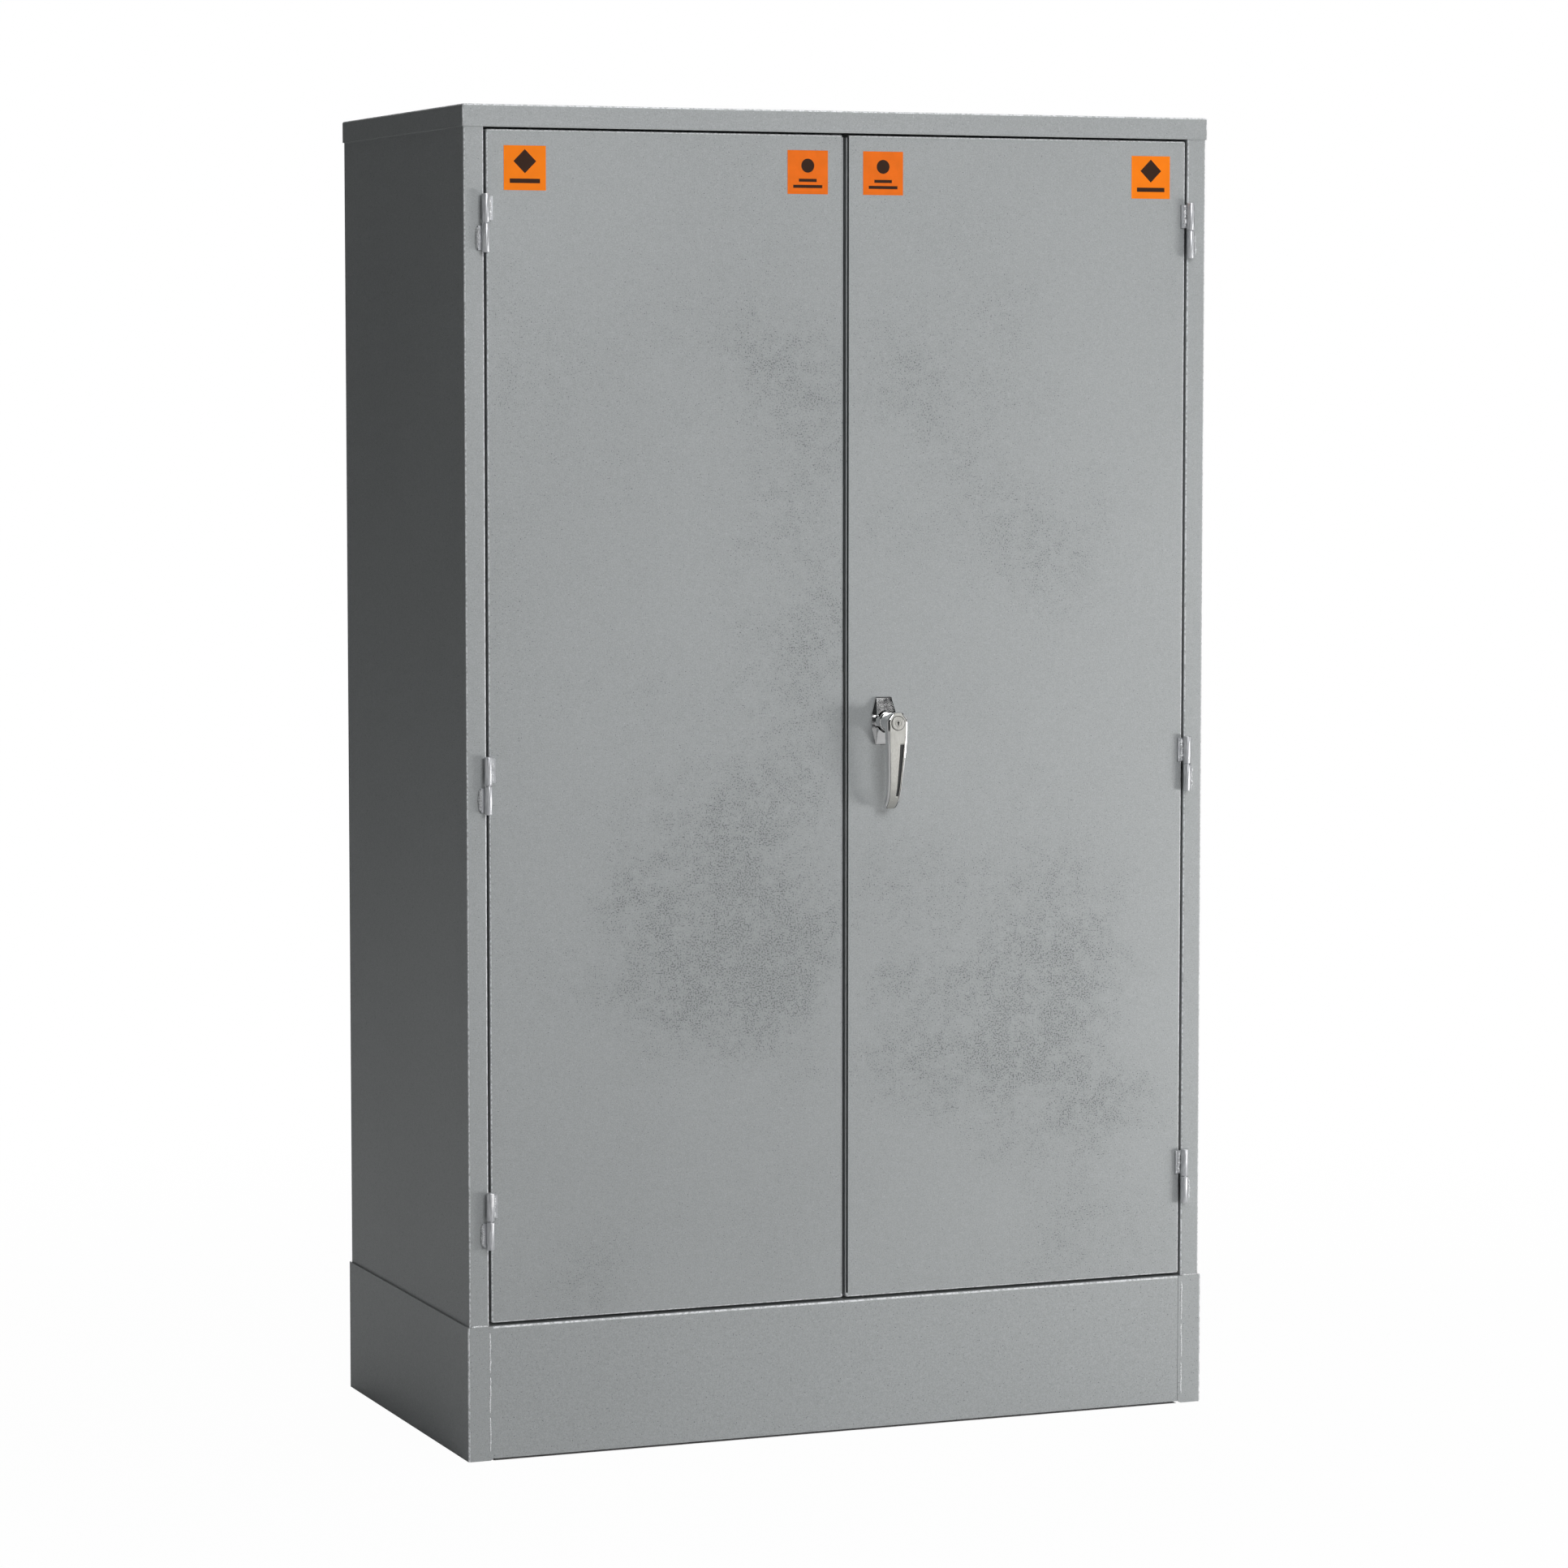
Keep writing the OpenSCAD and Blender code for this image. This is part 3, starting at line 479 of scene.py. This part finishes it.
def plinth_welds():
    """The upright seams between the plinth's front and its returns, and a tack at each jamb's
    foot."""
    seam_depth, tack_depth = PLINTH_FACE - SEAM_PROUD, FRONT - TACK_PROUD
    tack_height = JAMB_FOOT + TACK_RISE
    for side, sign in (("left", -1), ("right", 1)):
        x = sign * (SEAM_X + SEAM_OFF)
        for i, (low, high) in enumerate(SEAM_RUNS):
            wander = sign * (i % 2) * SEAM_WANDER
            bead(f"weld_plinth_{side}_{i}", (x + wander, seam_depth, low),
                 (x - wander, seam_depth, high), 2.1 * MM, 0.9 * MM, "carcass",
                 seed=31 + i + sign * 5, ripple=2.6 * MM)
        inner, outer = sign * (SEAM_X + TACK_START), sign * (BODY_HALF - TACK_END)
        bead(f"weld_jamb_{side}", (inner, tack_depth, tack_height), (outer, tack_depth, tack_height),
             2.2 * MM, 1.1 * MM, "carcass", seed=57 + sign, ripple=3.0 * MM)


# ------------------------------------------------------------------ lever handle

# The lever's outline: distance below the spindle, half width and how far the front leans in, in mm.
LEVER_SHAPE = ((-12, 5.6, 1.1), (-11.6, 6.8, 0.5), (-10.8, 7.6, 0.1), (-4.6, 12.4, 0), (-2, 13, 0),
               (8, 13, 0), (25, 12.3, 0.5), (40, 11.4, 1.7), (55, 10.4, 3.7), (68, 9.6, 5.6),
               (78, 9.1, 7.7), (85, 8.8, 10.2), (91, 8.6, 13.8), (96, 8.4, 18.2), (98.6, 7.6, 21),
               (100, 5.8, 23))
# The longest step between the lever's sections, in millimetres
LEVER_STEP = 1.5
# Its thickness in millimetres at the head, how much of it is lost, and over what distance
THICK_TOP, THICK_LOSS, THICK_RUN = 12.0, 4.5, 80 * MM
# Where the groove starts and ends below the spindle, and its depth in millimetres
GROOVE_TOP, GROOVE_FOOT, GROOVE_DEPTH = 24 * MM, 86 * MM, 1.1
# Where the groove's floor lies, as shares of the flat's half width, and its sloping sides
GROOVE_LEFT, GROOVE_RIGHT = 0.36, 0.84
GROOVE_SLOPE_LEFT, GROOVE_SLOPE_RIGHT = 0.4 * MM, 0.3 * MM
# The rounded edge: its width, the largest share of the half width it takes, and its drop
EDGE_WIDTH, EDGE_SHARE, EDGE_DROP = 2.6 * MM, 0.3, 2.4 * MM
EDGE_STEPS = 4
# The line between the flat front and the rounded edge: a shallow crease coloured dark matt brown, as painted shade
LINE_WIDTH, LINE_DROP = 0.55 * MM, 0.3 * MM
# Where the back's chamfer starts, as a share of the thickness and of the half width
BACK_CHAMFER = 0.72


def lever_section(level):
    """Half width, how far the front leans towards the door, thickness and groove depth at a
    distance below the spindle, all in metres."""
    for (a, half_a, lean_a), (b, half_b, lean_b) in zip(LEVER_SHAPE, LEVER_SHAPE[1:]):
        if level <= b * MM:
            t = (level / MM - a) / (b - a)
            break
    half = half_a + (half_b - half_a) * t
    lean = lean_a + (lean_b - lean_a) * t
    thick = THICK_TOP - THICK_LOSS * min(1.0, max(0.0, level / THICK_RUN))
    groove = GROOVE_DEPTH if GROOVE_TOP < level < GROOVE_FOOT else 0.0
    return half * MM, lean * MM, thick * MM, groove * MM


def lever():
    """The lever: a flat satin front with a long groove, between bright rounded edges."""
    face = LEVER[0].y
    stops = [row[0] for row in LEVER_SHAPE]
    levels = []
    for low, high in zip(stops, stops[1:]):
        steps = max(1, round((high - low) / LEVER_STEP))
        levels += [(low + (high - low) * i / steps) * MM for i in range(steps)]
    levels.append(stops[-1] * MM)
    rings = []
    for level in levels:
        half, lean, thick, groove = lever_section(level)
        front = face + lean
        edge = min(EDGE_WIDTH, half * EDGE_SHARE)
        flat = half - edge - LINE_WIDTH
        g0, g1 = flat * GROOVE_LEFT, flat * GROOVE_RIGHT
        turn = [(flat + LINE_WIDTH + edge * math.sin(a), EDGE_DROP * (1 - math.cos(a)))
                for a in (math.radians(90 / EDGE_STEPS * k) for k in range(EDGE_STEPS + 1))]
        line = (flat + LINE_WIDTH / 2, LINE_DROP)
        across = [(-u, v) for u, v in reversed(turn)]
        across += [(-line[0], line[1]), (-flat, 0), (g0 - GROOVE_SLOPE_LEFT, 0), (g0, groove),
                   (g1, groove), (g1 + GROOVE_SLOPE_RIGHT, 0), (flat, 0), line]
        across += turn
        across += [(half, thick * BACK_CHAMFER), (half * BACK_CHAMFER, thick),
                   (-half * BACK_CHAMFER, thick), (-half, thick * BACK_CHAMFER)]
        rings.append([Vector((SPINDLE.x + u, front + v, SPINDLE.z - level)) for u, v in across])
    verts, faces = loft(rings)
    satin, bright, dark = 0, 1, 2
    # The creases take the dark matt brown as painted shade; where the groove runs, its floor takes it too
    columns = [bright] * 4 + [dark] * 2 + [satin] * 5 + [dark] * 2 + [bright] * 9
    groove_columns = (8, 9)
    face_slots = []
    for above, below in zip(levels, levels[1:]):
        grooved = lever_section(above)[3] and lever_section(below)[3]
        face_slots += [dark if grooved and c in groove_columns else slot
                       for c, slot in enumerate(columns)]
    face_slots += [bright, bright]
    return add_piece("lever", verts, faces, "handle", [SATIN, CHROME, GROOVE], face_slots)


# ------------------------------------------------------------------ neck and lock

TURNED_SIDES = 64


def turned(name, profile, material, closed=False):
    """A part of the handle turned about the spindle's line. profile lists (depth from the doors'
    plane in metres, radius in millimetres); closed joins its last ring to its first."""
    turns = [FULL_TURN * k / TURNED_SIDES for k in range(TURNED_SIDES)]
    verts, faces = loft([[Vector((SPINDLE.x + radius * MM * math.cos(a), FRONT + depth,
                                  SPINDLE.z + radius * MM * math.sin(a))) for a in turns]
                         for depth, radius in profile])
    if closed:
        last = (len(profile) - 1) * TURNED_SIDES
        faces = faces[:-2]
        faces += [(last + i, last + (i + 1) % TURNED_SIDES, (i + 1) % TURNED_SIDES, i)
                  for i in range(TURNED_SIDES)]
    add_piece(name, verts, faces, "handle", [material])


def lever_neck():
    """The round neck that joins the lever's head to the hub, with a shadow groove."""
    back = LEVER[0].y - FRONT + 11.5 * MM
    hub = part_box("escutcheon")[0].y - FRONT - 0.3 * MM
    end, collar, waist, core = 9.8, 10.5, 9.7, 6.0
    turned("lever_neck", ((back, end), (back + 2 * MM, collar), (hub - 3 * MM, collar),
                          (hub - 2 * MM, waist), (hub - 0.8 * MM, waist), (hub, collar),
                          (hub, core), (-2 * MM, core)), CHROME)


def keyhole():
    """A thin near-black plate on the lock's plug, shaped as the upright slot and round mouth: painted shade for
    the keyhole's dark inside.
    """
    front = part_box("lock_plug")[0].y - 0.05 * MM
    mouth_r, mouth_up, slot_half, slot_foot, depth = 1.25, 0.9, 0.75, -2.3, 0.3 * MM
    outline = [(mouth_r * math.cos(a), mouth_up + mouth_r * math.sin(a)) for a in
               (math.radians(-50 + 20 * k) for k in range(15))]
    outline += [(-slot_half, slot_foot), (slot_half, slot_foot)]
    placed = [(SPINDLE.x + u * MM, SPINDLE.z + w * MM) for u, w in outline]
    verts, faces = prism(placed, front, front + depth)
    add_piece("keyhole", verts, faces, "lock_plug", [KEYHOLE_SHADE], smooth=False)


def lock_rings():
    """The dark joint round the lock's face, its rim and the raised ring round its keyhole."""
    face = LEVER[0].y - FRONT
    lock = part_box("lock_barrel")[0].y - FRONT
    sunk, proud = face + 0.3 * MM, face - 0.12 * MM
    turned("lock_joint", ((sunk, 7.7), (proud, 7.9), (proud, 8.5), (sunk, 8.7)), GROOVE, closed=True)
    foot, chamfer = lock + 0.2 * MM, 0.15
    for name, inner, outer, rise in (("lock_rim", 6.6, 7.3, 0.22), ("keyhole_rim", 3.7, 4.3, 0.25)):
        top = lock - rise * MM
        turned(name, ((foot, inner), (top, inner + chamfer), (top, outer - chamfer), (foot, outer)),
               SATIN, closed=True)


# ------------------------------------------------------------------ label marks

# How far the ink's plate stands before the label's face, and how far it sinks in
INK_PROUD, INK_SUNK = 0.06 * MM, 0.02 * MM


def flat_mark(name, outline, node, body):
    """A thin printed shape on a label. outline lists (x, z) from the label's centre, in
    fractions of its width."""
    low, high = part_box(node)
    size = high.x - low.x
    cx, cz = (low.x + high.x) / 2, (low.z + high.z) / 2
    placed = [(cx + u * size, cz + w * size) for u, w in outline]
    verts, faces = prism(placed, low.y - INK_PROUD, low.y + INK_SUNK)
    add_piece(name, verts, faces, body, [INK], smooth=False)


def bar(width, height, foot):
    """A plain upright-sided bar, centred across the label."""
    return [(-width / 2, foot), (width / 2, foot), (width / 2, foot + height),
            (-width / 2, foot + height)]


def label_marks():
    """Generic marks in place of the hazard symbols and words: a diamond or a disc over plain
    bars."""
    centre, diamond_half, disc_r = 0.15, 0.27, 0.16
    diamond = [(0.0, centre - diamond_half), (diamond_half, centre),
               (0.0, centre + diamond_half), (-diamond_half, centre)]
    disc = [(disc_r * math.cos(math.radians(a)), centre + disc_r * math.sin(math.radians(a)))
            for a in range(0, 360, 10)]
    for side in ("left", "right"):
        body = "door_" + side
        outer, inner = f"label_{side}_outer", f"label_{side}_inner"
        flat_mark(outer + "_mark", diamond, outer, body)
        flat_mark(outer + "_bar", bar(0.72, 0.10, -0.34), outer, body)
        flat_mark(inner + "_mark", disc, inner, body)
        flat_mark(inner + "_bar_upper", bar(0.44, 0.07, -0.22), inner, body)
        flat_mark(inner + "_bar_lower", bar(0.72, 0.07, -0.36), inner, body)


# ------------------------------------------------------------------ camera, stage and lights

def camera():
    """The eye, its direction and its lens."""
    azimuth, pitch = math.radians(-21.75), math.radians(4.73)
    forward = Vector((-math.sin(azimuth) * math.cos(pitch),
                      math.cos(azimuth) * math.cos(pitch), -math.sin(pitch)))
    data = bpy.data.cameras.new("camera")
    data.sensor_width = 36.0
    data.lens = 115.7
    data.clip_end = 60.0
    eye = bpy.data.objects.new("camera", data)
    eye.location = (-2.2094, -5.5554, 1.2342)
    eye.rotation_mode = "QUATERNION"
    eye.rotation_quaternion = forward.to_track_quat("-Z", "Y")
    bpy.context.scene.collection.objects.link(eye)
    bpy.context.scene.camera = eye


def floor():
    """A pale floor that fades to white, with its true shade under the plinth's front edge."""
    drop, inset, lap, plinth_back = 0.5 * MM, 28 * MM, 1.5 * MM, 0.2
    sides, reach = 96, 30.0
    bpy.ops.mesh.primitive_circle_add(vertices=sides, radius=reach, fill_type="NGON",
                                      location=(0, 0, -drop))
    ground = bpy.context.object
    ground.name = "floor"
    s = Shader("pale_floor")
    s.set(Base_Color=grey(0.85), Roughness=0.9)
    place = s.coords.outputs["Object"]
    parts = s.node("SeparateXYZ", {"Vector": place}).outputs
    beside = s.math("GREATER_THAN", s.math("ABSOLUTE", parts["X"]), BODY_HALF - inset)
    before = s.math("LESS_THAN", parts["Y"], PLINTH_FACE + lap)
    behind = s.math("GREATER_THAN", parts["Y"], plinth_back)
    outside = s.math("MAXIMUM", beside, s.math("MAXIMUM", before, behind))
    away = s.node("VectorMath", {0: place}, operation="LENGTH").outputs["Value"]
    glow = s.node("Emission", {"Color": grey(1.0), "Strength": 1.0})
    fade = s.times(s.span(away, 0.7, 2.6, 0.98, 1.0), outside)
    shown = s.node("MixShader", {0: fade, 1: s.bsdf.outputs[0], 2: glow.outputs[0]})
    seen = s.node("LightPath").outputs["Is Camera Ray"]
    bounce = s.node("BsdfDiffuse", {"Color": grey(0.8)})
    both = s.node("MixShader", {0: seen, 1: bounce.outputs[0], 2: shown.outputs[0]})
    s.tree.links.new(both.outputs[0], s.tree.nodes["Material Output"].inputs["Surface"])
    ground.data.materials.append(s.material)


def panel_light(name, where, aim, width, height, power, tint=(1.0, 1.0, 1.0), shine_only=False):
    """A rectangular lamp, with places and sizes in metres and power in watts. With shine_only it
    lights no surface diffusely, and shows only in reflections."""
    data = bpy.data.lights.new(name, "AREA")
    data.shape = "RECTANGLE"
    data.size, data.size_y = width, height
    data.energy = power
    data.color = tint
    lamp = bpy.data.objects.new(name, data)
    lamp.location = where
    direction = Vector(aim) - Vector(where)
    lamp.rotation_mode = "QUATERNION"
    lamp.rotation_quaternion = direction.to_track_quat("-Z", "Y")
    lamp.visible_diffuse = not shine_only
    bpy.context.scene.collection.objects.link(lamp)


def lighting():
    """A white studio that adds little light of its own, five lamps and three reflection cards."""
    world = bpy.data.worlds.new("studio")
    world.use_nodes = True
    bpy.context.scene.world = world
    tree = world.node_tree
    fill, output = tree.nodes["Background"], tree.nodes["World Output"]
    fill.inputs["Color"].default_value = (0.93, 0.97, 1.0, 1.0)
    fill.inputs["Strength"].default_value = 0.03
    white = tree.nodes.new("ShaderNodeBackground")
    white.inputs["Color"].default_value = grey(1.0)
    seen = tree.nodes.new("ShaderNodeLightPath")
    choose = tree.nodes.new("ShaderNodeMixShader")
    tree.links.new(seen.outputs["Is Camera Ray"], choose.inputs[0])
    tree.links.new(fill.outputs[0], choose.inputs[1])
    tree.links.new(white.outputs[0], choose.inputs[2])
    tree.links.new(choose.outputs[0], output.inputs["Surface"])
    middle = (0.0, 0.0, 0.8)
    panel_light("front", (0.1, -6.0, 3.2), middle, 3.0, 2.5, 160.0, (0.985, 0.99, 1.0))
    panel_light("low_right", (2.6, -2.4, 0.25), (0.2, -0.2, 0.1), 1.3, 0.8, 45.0, (1.0, 0.99, 0.98))
    panel_light("left", (-5.0, 0.3, 0.9), middle, 3.0, 1.6, 6.0)
    panel_light("overhead", (0.3, -0.5, 4.2), middle, 2.5, 2.0, 44.0)
    panel_light("back", (2.0, 4.6, 2.4), middle, 2.5, 2.5, 110.0)
    panel_light("card_left", (-4.2, -1.6, 1.2), middle, 1.6, 2.6, 6.0, shine_only=True)
    panel_light("card_right", (3.6, -1.9, 1.2), middle, 1.2, 2.6, 12.0, shine_only=True)
    panel_light("card_top", (1.1, -2.7, 4.3), middle, 1.3, 0.7, 9.0, shine_only=True)
    bpy.context.scene.view_settings.view_transform = "Standard"


# ------------------------------------------------------------------ build

dress_cad_nodes()
for small in ("escutcheon", "lock_barrel"):
    soften(small, 0.7 * MM)
for side in ("left", "right"):
    soften(f"door_knuckles_{side}", 0.5 * MM, 2)
    soften(f"frame_knuckles_{side}", 0.5 * MM, 2)
hinge_welds()
plinth_welds()
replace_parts(lever(), "lever_handle")
lever_neck()
lock_rings()
keyhole()
label_marks()
camera()
floor()
lighting()
